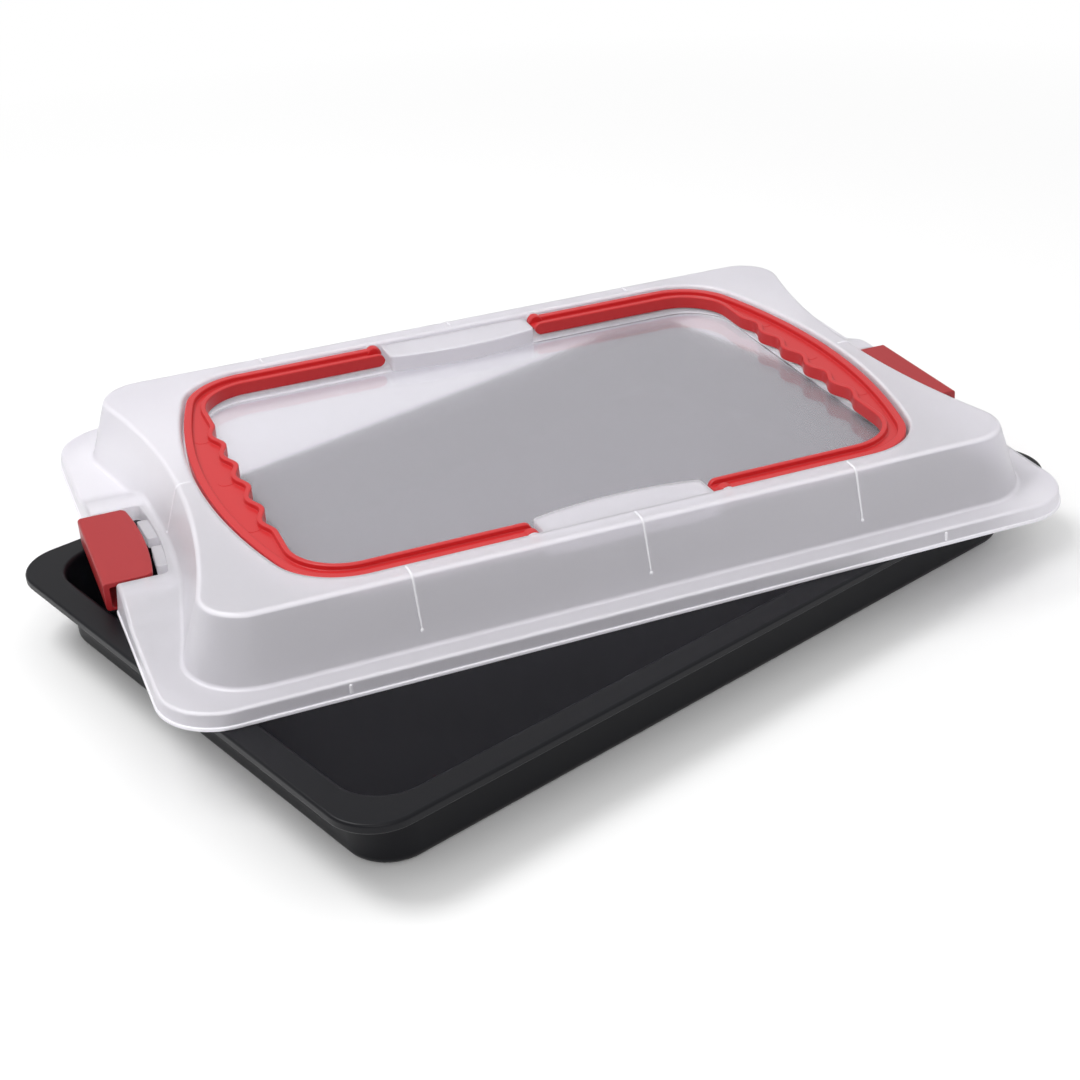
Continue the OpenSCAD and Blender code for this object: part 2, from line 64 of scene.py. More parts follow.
# A grain of a real size and depth in millimetres: noise that drives a bump
def addGrain(tree, place, size, depth, strength, detail, roughness=0.5):
    grain = addNode(tree, "ShaderNodeTexNoise", links={"Vector": place.outputs["Object"]},
                    values={"Scale": 1 / (size * mm), "Detail": detail, "Roughness": roughness})
    return addNode(tree, "ShaderNodeBump", links={"Height": grain.outputs["Fac"]},
                   values={"Strength": strength, "Distance": depth * mm})


# An empty node material and its output node
def newMaterial(name):
    material = bpy.data.materials.new(name)
    material.use_nodes = True
    tree = material.node_tree
    tree.nodes.clear()
    return material, tree, tree.nodes.new("ShaderNodeOutputMaterial")


# Points of an arc: centre plus radius times (cos, sin) over the angles in degrees
def arcPoints(centre, radius, start, end, steps):
    angle = np.radians(np.linspace(start, end, steps + 1))
    return np.stack([centre[0] + radius * np.cos(angle), centre[1] + radius * np.sin(angle)], axis=1)


# Faces of a grid of rows by columns, closed round the columns and, if asked, round the rows
def gridFaces(rows, columns, closeRows=False):
    r = np.arange(rows if closeRows else rows - 1)[:, None]
    c = np.arange(columns)[None, :]
    below, beside = (r + 1) % rows, (c + 1) % columns
    quads = np.stack([r * columns + c, r * columns + beside,
                      below * columns + beside, below * columns + c], axis=-1)
    return quads.reshape(-1, 4)


# A solid from rings (rows by columns by 3): a skin over the grid, and a flat cap on the first
# and the last ring. A solid here is its points, its quads and its caps.
def ringSolid(rings):
    rows, columns = rings.shape[:2]
    caps = [np.arange(columns)[::-1], (rows - 1) * columns + np.arange(columns)]
    return rings.reshape(-1, 3), gridFaces(rows, columns), caps


# Normals of a closed plan curve that runs anticlockwise, pointing out of it: the direction from
# the point before to the point after, turned by a quarter
def closedNormals(curve):
    run = np.roll(curve, -1, axis=0) - np.roll(curve, 1, axis=0)
    normal = np.column_stack([run[:, 1], -run[:, 0]])
    return normal / np.linalg.norm(normal, axis=1, keepdims=True)


# Upright prism on a plan outline. Its top edge follows a quarter circle inwards, of radius edge.
# Where edge is below zero the prism flares outwards on a quarter circle up to high, and then goes
# straight up by rise.
def prismSolid(outline, low, high, edge=0.0, steps=4, rise=5.0):
    normals = closedNormals(outline)
    levels = [(0.0, low)]
    if edge == 0:
        levels.append((0.0, high))
    else:
        t = np.radians(np.linspace(0, 90, steps + 1))
        levels += list(zip(-edge * (1 - np.cos(t)), high - abs(edge) * (1 - np.sin(t))))
        if edge < 0:
            levels.append((-edge, high + rise))
    rings = [np.column_stack([outline + normals * d, np.full(len(outline), z)]) for d, z in levels]
    return ringSolid(np.array(rings))


# Round solid along Y: the profile's radius and place along the axis, turned about it
def turnedSolid(centre, profile, sides=40):
    angle = np.linspace(0, 2 * np.pi, sides, endpoint=False)
    radius, place = np.array(profile, dtype=float).T
    rings = np.stack([centre[0] + radius[:, None] * np.cos(angle)[None, :],
                      np.broadcast_to(place[:, None], (len(radius), sides)),
                      centre[1] + radius[:, None] * np.sin(angle)[None, :]], axis=-1)
    return ringSolid(rings)


# Profile of a cylinder from a to b whose far edge is rounded by e
def roundedEnd(radius, a, b, e):
    arc = arcPoints((radius - e, b - e), e, 0, 90, 4)
    return [(radius, a)] + [tuple(p) for p in arc]


# Plain cylinder along Y from a to b
def roundBar(centre, radius, a, b):
    return turnedSolid(centre, [(radius, a), (radius, b)])


bothEnds = [(s, 1, 1) for s in (1, -1)]
bothSides = [(1, s, 1) for s in (1, -1)]
fourCorners = [(s, t, 1) for s in (1, -1) for t in (1, -1)]


# Copies of solids, with their points multiplied by each triple of signs
def mirrorSolids(solids, signs):
    return [(points * np.array(s), quads, caps) for s in signs for points, quads, caps in solids]


# Adds an object with its data to the scene
def addObject(name, data):
    obj = bpy.data.objects.new(name, data)
    bpy.context.scene.collection.objects.link(obj)
    return obj


# Makes an object from solids in millimetres, with all faces turned outwards
def makeObject(name, solids):
    starts = np.cumsum([0] + [len(s[0]) for s in solids])
    points = np.concatenate([s[0] for s in solids]) * mm
    faces = []
    for start, (_, quads, caps) in zip(starts, solids):
        faces += (quads + start).tolist() + [(cap + start).tolist() for cap in caps]
    mesh = bpy.data.meshes.new(name)
    mesh.from_pydata(points.tolist(), [], faces)
    work = bmesh.new()
    work.from_mesh(mesh)
    bmesh.ops.recalc_face_normals(work, faces=work.faces)
    work.to_mesh(mesh)
    work.free()
    return addObject(name, mesh)


# Joins solids to an object (UNION) or cuts them out of it (DIFFERENCE) and keeps the new mesh
def combine(obj, operation, solids):
    tool = makeObject(obj.name + "Tool", solids)
    change = obj.modifiers.new(operation, "BOOLEAN")
    change.operation, change.solver, change.object, change.use_self = operation, "EXACT", tool, True
    graph = bpy.context.evaluated_depsgraph_get()
    mesh = bpy.data.meshes.new_from_object(obj.evaluated_get(graph))
    obj.modifiers.clear()
    obj.data = mesh
    bpy.data.objects.remove(tool)


# All points of a mesh as one array, in millimetres
def readPoints(mesh):
    flat = np.empty(len(mesh.vertices) * 3)
    mesh.vertices.foreach_get("co", flat)
    return flat.reshape(-1, 3) / mm


# Puts such an array back into the mesh
def writePoints(mesh, points):
    mesh.vertices.foreach_set("co", (points * mm).ravel())
    mesh.update()


# Smooth shading with edges sharp past an angle in degrees, and flat faces kept flat beside round
# edges
def finishObject(obj, sharpAngle=34):
    mesh = obj.data
    mesh.name = obj.name
    mesh.polygons.foreach_set("use_smooth", np.ones(len(mesh.polygons), dtype=bool))
    mesh.set_sharp_from_angle(angle=math.radians(sharpAngle))
    flat = obj.modifiers.new("flatFaces", "WEIGHTED_NORMAL")
    flat.keep_sharp = True
    flat.weight = 50


# The pieces fit one another, so their sizes stand together, above the code that uses them. They
# are in millimetres and degrees, also where they give the size of a material's pattern.

# The pan
pan = {
    "length": 420.0, "width": 287.0, "height": 36.0, "sheet": 0.8,
    "rimCornerR": 22.5, "rimWidth": 14.4, "cavityCornerR": 21.0, "leanDegrees": 2.5,
    "rimBendR": 2.4, "floorBendR": 4.0, "lipHeight": 4.6, "lipCurlR": 1.2, "lipEdgeR": 1.4,
    "colour": "#0F0F14", "roughness": 0.36, "specular": 0.22, "orangePeel": 0.9, "patches": 60.0,
}

# The lid, in its own frame: origin at the middle of its lower edge, X along it
lid = {
    "turnDegrees": -18.4, "shift": (22.6, 33.2),
    "wall": 1.6, "flangeZ": 8.0, "height": 38.0, "bead": 2.2,
    "beadProfile": ((-0.3, 0.0), (0.0, 0.3), (0.0, 1.1), (-0.2, 1.45), (-0.7, 1.7)),
    "skirtGap": 5.2, "skirtCornerR": 28.8, "skirtLean": 7.0, "skirtStep": 0.5, "skirtEdgeR": 2.0,
    "flangeSide": 11.9, "flangeEnd": 30.3, "domeLean": 18.4, "domeEndR": 400.0,
    "domeCornerR": 20.0, "domeEdgeR": 3.0, "footR": 2.5,
    "seatRise": 6.0, "seatHalf": 43.0, "seatRamp": 27.0,
    "landEnd": 9.2, "landSide": 10.6, "recessEdgeR": 2.0, "windowR": 27.0, "windowDrop": 2.2,
    "windowUnder": 3.0, "windowGap": 1.6,
    "ribPitch": 105.0, "ribR": 0.8, "ribEndR": 0.5, "ribSunk": 0.3, "ribLow": 15.0, "dotR": 0.95,
    "tickX": 141.0, "tickR": 0.8,
    "blockTop": 35.5, "blockBulge": 4.5, "blockCornerR": 3.0, "blockEdgeR": 0.8,
    "blockGap": 1.5, "blockInset": 3.5,
    "grain": 0.6, "clouds": 35.0,
    # The dome's wall by its height over the ground, where rounded edges get no painted highlight
    "wallMiddle": 55.0, "wallHalf": 10.2, "wallFade": 1.0,
    # Colour, roughness, share of the light that passes, how much less of it passes at a rounded edge (a
    # painted highlight there), and share of the lamps' light that passes
    "finishes": {
        "lidFrost": ("#F5F3F8", 0.33, 0.66, 0.3, 0.82),
        "lidWindow": ("#E4E2E9", 0.09, 0.79, 0.0, 0.88),
        # Less clear plastic for ribs and ticks, where it is thickest, and a painted highlight line along
        # the skirt's lower edge
        "lidThickAndEdgeLine": ("#F5F3F8", 0.4, 0.15, 0.1, 0.7),
    },
}

# A handle, in the lid's frame
bail = {
    "endR": 320.0, "cornerR": 34.0, "armWidth": 12.5,
    "height": 6.8, "outerRib": 4.0, "innerRib": 2.6, "web": 2.0,
    "wavePitch": 24.5, "waveDepth": 3.6, "waveBase": 21.3, "waveCount": 5, "waveFade": 3.0,
    "innerCornerR": 26.0, "pivotX": 46.5, "pivotRise": 0.6, "pinD": 4.0, "pinShort": 0.4,
    "bossWall": 2.0, "bossGap": 0.3,
    "gap": 1.3, "sunk": 1.7, "seatGap": 0.3, "edgeR": 0.7, "webFillet": 0.5, "tipR": 3.4,
    "hubWidth": 4.5, "hubEdgeR": 0.6,
    "markX": 153.6, "markR": 4.2, "markPitch": 50.0, "markRise": 0.14, "markSunk": 0.6,
    "markEdgeR": 0.05,
    "colour": "#CD2A2D", "roughness": 0.34, "grain": 0.6,
}

# A clip, in the lid's frame, drawn for the right end
hook = {
    "width": 69.0, "proud": 3.7, "depth": 25.5, "plate": 2.5, "wall": 2.8, "lip": 1.3,
    "lipWidth": 11.5, "top": 14.3, "bottom": 0.3, "bulge": 3.0, "bulgeDepth": 10.0, "cornerR": 3.0,
    "outerR": 1.8, "innerFillet": 0.8, "noseR": 0.8, "endR": 0.45,
    "pinD": 3.2, "pinFromEdge": 6.0, "pinZ": 10.6, "earWidth": 4.5, "earR": 2.4, "earEdgeR": 0.3,
    "sideGap": 1.3, "wallRoom": 1.6,
    "colour": "#A92126", "roughness": 0.42, "grain": 0.6,
}

# Notch of the flange for a clip, and the two blocks that stop its plate
notch = {
    "inset": 28.4, "cornerR": 3.0, "flangeR": 3.0, "depth": 7.5, "edgeR": 0.5,
    "wall": 2.0, "wallSunk": 0.4, "wallEnd": 4.0,
    "stopStart": 4.0, "stopLength": 20.0, "stopReach": 4.8, "stopSunk": 1.3, "stopDrop": 2.3,
    "stopLift": 0.2, "stopCornerR": 1.0, "stopEdgeR": 0.45,
}
pinFit = 0.06  # room round a pin in its bore, on the radius
pinEndR = 0.4  # round end of every pin

# Places worked out from the sizes above
skirtX = pan["length"] / 2 + lid["skirtGap"] + lid["wall"]
skirtY = pan["width"] / 2 + lid["skirtGap"] + lid["wall"]
domeSlope = math.tan(math.radians(lid["domeLean"]))
domeFoot = (lid["height"] - lid["flangeZ"]) * domeSlope
domeX = skirtX - lid["flangeEnd"] - domeFoot
domeY = skirtY - lid["flangeSide"] - domeFoot
recessX, recessY = domeX - lid["landEnd"], domeY - lid["landSide"]
bailReach, bailHalf = recessX - bail["gap"], recessY - bail["gap"]
bailZ = lid["height"] - bail["sunk"] - bail["height"]
pivotZ = bailZ + bail["height"] / 2 + bail["pivotRise"]
hubR = pivotZ - bailZ
troughZ = bailZ - bail["seatGap"]
windowZ = troughZ - lid["windowDrop"]
windowX = bailReach - bail["waveBase"] + lid["windowUnder"]
windowY = bailHalf - bail["armWidth"] - lid["windowGap"]
seatZ = lid["flangeZ"] + lid["seatRise"]
notchX = skirtX - notch["inset"]
notchHalf = hook["width"] / 2 + hook["sideGap"]
hookOut = skirtX + hook["proud"]
hookIn = hookOut - hook["depth"]
pinX = hookIn + hook["pinFromEdge"]


# Places points of the lid's frame on the pan: turned about Z, then shifted and lifted
def placeLid(points):
    angle = math.radians(lid["turnDegrees"])
    x, y = points[:, 0], points[:, 1]
    return np.column_stack([x * math.cos(angle) - y * math.sin(angle) + lid["shift"][0],
                            x * math.sin(angle) + y * math.cos(angle) + lid["shift"][1],
                            points[:, 2] + pan["height"]])


# Moves a finished mesh from the lid's frame onto the pan, mirrored in X first for the left end
def seatOnPan(obj, mirrored=False):
    points = readPoints(obj.data)
    if mirrored:
        points[:, 0] *= -1
        obj.data.flip_normals()
    writePoints(obj.data, placeLid(points))


# An outline with straight long sides and round corners. endR is 0 for straight ends, above 0
# for ends that bow out, below 0 for hollow ones. A corner's centre lies cornerR within the long
# side and where its arc touches the end, and the arc begins at the angle start.
def makeOutline(halfX, halfY, cornerR, endR=0.0):
    endX = halfX - endR
    cy = halfY - cornerR
    if endR == 0:
        cx, start = halfX - cornerR, 0.0
    elif endR > 0:
        cx = endX + math.sqrt((endR - cornerR) ** 2 - cy ** 2)
        start = math.degrees(math.atan(cy / (cx - endX)))
    else:
        cx = endX - math.sqrt((cornerR - endR) ** 2 - cy ** 2)
        start = math.degrees(math.atan(cy / (cx - endX)))
    return {"halfX": halfX, "endX": endX, "endR": endR, "cornerR": cornerR,
            "cx": cx, "cy": cy, "start": start}


# Where rings have their points along the ends, before the corner's share of the ring
endHeights = np.concatenate([np.linspace(0, lid["seatHalf"], 9),
                             np.linspace(lid["seatHalf"], lid["seatHalf"] + lid["seatRamp"], 13)[1:]])
cornerSteps = 16


# How far the flange rises beside a clip: level, then half a cosine down to nothing
def seatGain(y):
    t = np.clip((np.abs(y) - lid["seatHalf"]) / lid["seatRamp"], 0, 1)
    return lid["seatRise"] * (1 + np.cos(np.pi * t)) / 2


# One ring: the outline grown by d at height z. Its ends rise with the clip seats by share, and
# move in by lean for each millimetre of rise.
def ringPoints(outline, d, z, share=0.0, lean=0.0):
    cornerY = outline["cy"] + (outline["cornerR"] + d) * math.sin(math.radians(outline["start"]))
    extra = np.linspace(endHeights[-1], cornerY, 6)[1:-1]
    y = np.concatenate([endHeights, extra])
    rise = seatGain(y) * share
    grown = d - rise * lean
    endR = outline["endR"]
    if endR == 0:
        x = outline["halfX"] + grown
    else:
        x = outline["endX"] + np.sign(endR) * np.sqrt((endR + grown) ** 2 - y ** 2)
    end = np.stack([x, y, z + rise], axis=1)
    corner = arcPoints((outline["cx"], outline["cy"]), outline["cornerR"] + d,
                       outline["start"], 90, cornerSteps)
    quarter = np.concatenate([end, np.column_stack([corner, np.full(len(corner), z)])])
    flipX, flipY = np.array([-1, 1, 1]), np.array([1, -1, 1])
    return np.concatenate([quarter, (quarter * flipX)[::-1], (quarter * flipX * flipY)[1:],
                           (quarter * flipY)[:0:-1]])


# Section of a rounded edge as ring values: the outline with each arc point's offset and height
def arcRings(outline, centre, radius, start, end, steps, share=0.0, lean=0.0):
    return [(outline, p[0], p[1], share, lean) for p in arcPoints(centre, radius, start, end, steps)]


# A sheet's closed skin: a surface through the rings of its upper side and back through those of
# its lower side. In the middle of the sheet, one flat face closes each side.
def sheetSolid(upper, lower):
    points = np.array([ringPoints(*ring) for ring in upper + lower])
    rows, columns = points.shape[:2]
    last = len(upper) - 1
    faces = gridFaces(rows, columns, True).reshape(rows, columns, 4)
    keep = np.arange(rows) != last
    caps = [last * columns + np.arange(columns), ((last + 1) * columns + np.arange(columns))[::-1]]
    return points.reshape(-1, 3), faces[keep].reshape(-1, 4), caps


# The pan's sheet: from the curl under the rim, over the rim and down to the floor, then back
def buildPan():
    p = pan
    rim = makeOutline(p["length"] / 2, p["width"] / 2, p["rimCornerR"])
    cavity = makeOutline(p["length"] / 2 - p["rimWidth"], p["width"] / 2 - p["rimWidth"],
                         p["cavityCornerR"])
    lean = math.radians(p["leanDegrees"])
    inward = np.array([-math.cos(lean), math.sin(lean)])
    downward = np.array([-math.sin(lean), -math.cos(lean)])
    top, sheet, deg = p["height"], p["sheet"], p["leanDegrees"]
    bendR, floorR = p["rimBendR"], p["floorBendR"]
    rimC = np.array([bendR, top - bendR])
    drop = (top - sheet - (bendR + floorR) * (1 - inward[1])) / math.cos(lean)
    floorC = rimC + inward * (bendR + floorR) + downward * drop
    edgeC = (-p["lipEdgeR"], top - p["lipEdgeR"])
    curlC = (-p["lipCurlR"], top - p["lipHeight"] + p["lipCurlR"])
    upper = (arcRings(rim, curlC, p["lipCurlR"], -170, 0, 10)
             + arcRings(rim, edgeC, p["lipEdgeR"], 0, 90, 8)
             + arcRings(cavity, rimC, bendR, 90, 180 - deg, 9)
             + arcRings(cavity, floorC, floorR, -deg, -90, 9))
    lower = (arcRings(cavity, floorC, floorR + sheet, -90, -deg, 9)
             + arcRings(cavity, rimC, bendR - sheet, 180 - deg, 90, 9)
             + arcRings(rim, edgeC, p["lipEdgeR"] - sheet, 90, 0, 5)
             + arcRings(rim, curlC, p["lipCurlR"] - sheet, 0, -170, 6))
    obj = makeObject("panSheet", [sheetSolid(upper, lower)])
    finishObject(obj)
    return obj


# Centres of the lid's rounded edges, as offsets from their outlines and heights
skirtSlope = math.tan(math.radians(lid["skirtLean"]))
cosSkirt, cosDome = math.cos(math.radians(lid["skirtLean"])), math.cos(math.radians(lid["domeLean"]))
skirtEdgeC = (-lid["skirtStep"] - skirtSlope * lid["flangeZ"]
              - lid["skirtEdgeR"] / cosSkirt + skirtSlope * lid["skirtEdgeR"],
              lid["flangeZ"] - lid["skirtEdgeR"])
domeEdgeC = (lid["domeEdgeR"] * (domeSlope - 1 / cosDome), lid["height"] - lid["domeEdgeR"])


# The lid's shell: from the skirt's foot over the dome and down into the window, then back
def lidShell():
    s = lid
    wall, top = s["wall"], s["height"]
    skirt = makeOutline(skirtX, skirtY, s["skirtCornerR"])
    dome = makeOutline(domeX, domeY, s["domeCornerR"], -s["domeEndR"])
    recess = makeOutline(recessX, recessY, bail["cornerR"] + bail["gap"], bail["endR"] + bail["gap"])
    window = makeOutline(windowX, windowY, s["windowR"])
    footC = (domeFoot + s["footR"] * (1 / cosDome - domeSlope), s["flangeZ"] + s["footR"])
    recessC = (s["recessEdgeR"], top - s["recessEdgeR"])
    troughR, dropR, sinkR = 0.8, 1.0, 0.8
    outside = (
        [(skirt, d, z) for d, z in s["beadProfile"]]
        + arcRings(skirt, skirtEdgeC, s["skirtEdgeR"], s["skirtLean"], 90, 7, 1, skirtSlope)
        + arcRings(dome, footC, s["footR"], 270, 180 + s["domeLean"], 7, 1, domeSlope)
        + arcRings(dome, domeEdgeC, s["domeEdgeR"], s["domeLean"], 90, 8)
        + arcRings(recess, recessC, s["recessEdgeR"], 90, 180, 7)
        + arcRings(recess, (-troughR, troughZ + troughR), troughR, 0, -90, 4)
        + arcRings(window, (dropR, troughZ - dropR), dropR, 90, 180, 4)
        + arcRings(window, (-sinkR, windowZ + sinkR), sinkR, 0, -90, 4))
    inside = (
        arcRings(window, (-sinkR, windowZ + sinkR), sinkR + wall, -90, 0, 4)
        + [(window, wall, troughZ - wall)]
        + arcRings(recess, (-troughR, troughZ + troughR), troughR + wall, -90, 0, 4)
        + arcRings(recess, recessC, s["recessEdgeR"] - wall, 180, 90, 3)
        + arcRings(dome, domeEdgeC, s["domeEdgeR"] - wall, 90, s["domeLean"], 5)
        + arcRings(dome, footC, s["footR"] + wall, 180 + s["domeLean"], 270, 6, 1, domeSlope)
        + arcRings(skirt, skirtEdgeC, s["skirtEdgeR"] - wall, 90, s["skirtLean"], 3, 1, skirtSlope)
        + [(skirt, -s["bead"], 1.5), (skirt, -s["bead"], 0.3), (skirt, -s["bead"] + 0.3, 0.0)])
    return sheetSolid(outside, inside)


# Points along a path, at t less 0.12 times sin of t's full turn, so closer together near its ends
def spreadPoints(path, count):
    run = np.concatenate([[0], np.cumsum(np.linalg.norm(np.diff(path, axis=0), axis=1))])
    t = np.linspace(0, 1, count)
    wanted = run[-1] * (t - 0.12 * np.sin(2 * np.pi * t))
    return np.column_stack([np.interp(wanted, run, path[:, 0]), np.interp(wanted, run, path[:, 1])])


# A round rib along a path across the wall. Each ring is the path's point plus the radius times
# cos along the path's normal and sin along the wall. The radius rounds off to nothing at both ends.
# The result is in (along the wall, outwards, up).
def ribRings(path, radius, endRadius, count=64, sides=12):
    path = spreadPoints(path, count)
    tangent = np.gradient(path, axis=0)
    tangent /= np.linalg.norm(tangent, axis=1, keepdims=True)
    normal = np.column_stack([tangent[:, 1], -tangent[:, 0]])
    run = np.concatenate([[0], np.cumsum(np.linalg.norm(np.diff(path, axis=0), axis=1))])
    radius = radius + (endRadius - radius) * run / run[-1]
    left = np.clip(np.minimum(run, run[-1] - run) / radius, 0.01, 1)
    size = radius * np.sqrt(1 - (1 - left) ** 2)
    angle = np.linspace(0, 2 * np.pi, sides, endpoint=False)
    across = path[:, None, :] + (size[:, None] * np.cos(angle))[..., None] * normal[:, None, :]
    along = size[:, None] * np.sin(angle)
    return np.concatenate([along[..., None], across], axis=2)


# Ribs over the dome's edge, with a round dot at the low end, and short ticks on the skirt. The
# dot is a half turn of rings of radius dotR times sin, at dotR times cos along the wall.
def ribSolids():
    sunk, top = lid["ribSunk"], lid["height"]
    edge = arcPoints(domeEdgeC, lid["domeEdgeR"] - sunk, 90, lid["domeLean"], 8)
    lowX = (top - lid["ribLow"]) * domeSlope - sunk / cosDome
    dotTurn = np.radians(np.linspace(4, 176, 9))
    dotPath = np.column_stack([np.full(9, lowX), lid["ribLow"] - lid["dotR"] * np.cos(dotTurn)])
    dotSize = lid["dotR"] * np.sin(dotTurn)
    angle = np.linspace(0, 2 * np.pi, 16, endpoint=False)
    dot = np.stack([dotSize[:, None] * np.cos(angle), dotPath[:, :1] + dotSize[:, None] * np.sin(angle),
                    np.broadcast_to(dotPath[:, 1:], (9, 16))], axis=-1)
    solids = []
    for land, place in ((lid["landSide"], "side"), (lid["landEnd"], "end")):
        start = [[-land + lid["recessEdgeR"] + 0.5, top - sunk]]
        path = np.concatenate([start, edge, [[lowX, lid["ribLow"]]]])
        rib = ribRings(path, lid["ribR"], lid["ribEndR"])
        shifts = (-lid["ribPitch"], 0, lid["ribPitch"]) if place == "side" else (0,)
        for sign, shift in [(s, k) for s in (1, -1) for k in shifts]:
            for along, out, up in (np.moveaxis(rings, -1, 0) for rings in (rib, dot)):
                if place == "side":
                    parts = (along + shift, sign * (out + domeY), up)
                else:
                    parts = (sign * (out + domeX), along, up)
                solids.append(ringSolid(np.stack(parts, -1)))
    skirtTop = arcPoints(skirtEdgeC, lid["skirtEdgeR"], lid["skirtLean"], lid["skirtLean"], 0)[0]
    path = np.array([[-0.85, 1.9], [skirtTop[0] - 0.15, skirtTop[1] + 0.3]])
    along, out, up = np.moveaxis(ribRings(path, lid["tickR"], lid["tickR"], 20), -1, 0)
    for signX, signY, _ in fourCorners:
        parts = (along + signX * lid["tickX"], signY * (out + skirtY), up)
        solids.append(ringSolid(np.stack(parts, -1)))
    return solids


# Plan of the notch, grown by d: an inner edge that bows like the clip's, two round inner corners,
# and outwards an end that is either open or rounds off the flange's own corners
def notchOutline(d, outX, flangeR=0.0):
    half, r = notchHalf + d, notch["cornerR"] + d
    y = np.linspace(half - r, r - half, 31)
    x0 = notchX - d + hook["bulge"] * (y[0] / half) ** 2
    mouth = [[outX, half + flangeR]]
    if flangeR:
        mouth = np.concatenate([mouth, arcPoints((skirtX - flangeR, half + flangeR), flangeR, 0, -90, 6)])
    corner = arcPoints((x0 + r, half - r), r, 90, 180, 8)[:-1]
    upper = np.concatenate([mouth, corner])
    edge = np.column_stack([notchX - d + hook["bulge"] * (y / half) ** 2, y])
    return np.concatenate([upper, edge, (upper * np.array([1, -1]))[::-1]])


# Plan of a box whose corners are quarter circles of radius r
def boxOutline(lowX, highX, lowY, highY, r):
    corners = ((highX - r, highY - r, 0), (lowX + r, highY - r, 90),
               (lowX + r, lowY + r, 180), (highX - r, lowY + r, 270))
    return np.concatenate([arcPoints((x, y), r, a, a + 90, 4) for x, y, a in corners])


# Plan of a bridge block, grown by d: straight sides, round corners and a front that bulges as a
# parabola tangent to the corners
def blockOutline(d):
    half = bail["pivotX"] - hubR - lid["blockGap"] + d
    endY = bailHalf - bail["armWidth"] - lid["blockInset"] - d
    r = lid["blockCornerR"] + d
    slope = 2 * lid["blockBulge"] / half
    turn = 270 - math.degrees(math.atan(slope))
    left = arcPoints((-half + r, endY + r), r, 180, turn, 6)
    right = arcPoints((half - r, endY + r), r, 540 - turn, 360, 6)
    x = np.linspace(left[-1, 0], right[0, 0], 25)[1:-1]
    y = left[-1, 1] - abs(left[-1, 0]) * slope / 2 * (1 - (x / left[-1, 0]) ** 2)
    backY = recessY + lid["wall"] / 2 + 0.15 + d
    return np.concatenate([[[half, backY], [-half, backY]], left, np.column_stack([x, y]), right])


# The lid in one piece: shell, notch walls, bridge blocks, ribs and bearings, with the notches,
# the rooms under the blocks and the bores cut out, and the stop blocks put in last
def buildLid():
    obj = makeObject("lidShell", [lidShell()])
    under = windowZ - lid["wall"]
    bossFace = bailHalf + bail["seatGap"] + bail["bossGap"]
    walls = prismSolid(notchOutline(notch["wall"], skirtX - notch["wallEnd"]),
                       seatZ - notch["depth"], seatZ - notch["wallSunk"])
    block = prismSolid(blockOutline(0), under, lid["blockTop"], lid["blockEdgeR"])
    pivot = (bail["pivotX"], pivotZ)
    boss = roundBar(pivot, bail["pinD"] / 2 + bail["bossWall"], bossFace, recessY + lid["wall"] / 2)
    combine(obj, "UNION", mirrorSolids([walls], bothEnds) + mirrorSolids([block], bothSides)
            + mirrorSolids([boss], fourCorners))
    combine(obj, "UNION", ribSolids())
    cutter = prismSolid(notchOutline(0, skirtX + 20, notch["flangeR"]), -1, seatZ, -notch["edgeR"])
    room = prismSolid(blockOutline(-lid["wall"]), under - 1, lid["blockTop"] - lid["wall"])
    pivotBore = roundBar(pivot, bail["pinD"] / 2 + pinFit, bossFace - 1, recessY + lid["wall"] + 1)
    pinBore = roundBar((pinX, hook["pinZ"]), hook["pinD"] / 2 + pinFit,
                       notchHalf - 1, notchHalf + notch["wall"] + 1)
    combine(obj, "DIFFERENCE", mirrorSolids([cutter], bothEnds) + mirrorSolids([room], bothSides)
            + mirrorSolids([pivotBore], fourCorners) + mirrorSolids([pinBore], fourCorners))
    plan = boxOutline(notchX - notch["stopSunk"], notchX + notch["stopReach"], notch["stopStart"],
                      notch["stopStart"] + notch["stopLength"], notch["stopCornerR"])
    plan[:, 0] += hook["bulge"] * (plan[:, 1] / notchHalf) ** 2
    stop = prismSolid(plan, seatZ - notch["depth"] + notch["stopLift"], seatZ - notch["stopDrop"],
                      notch["stopEdgeR"])
    combine(obj, "UNION", mirrorSolids([stop], fourCorners))
    finishObject(obj, 30)
    return obj


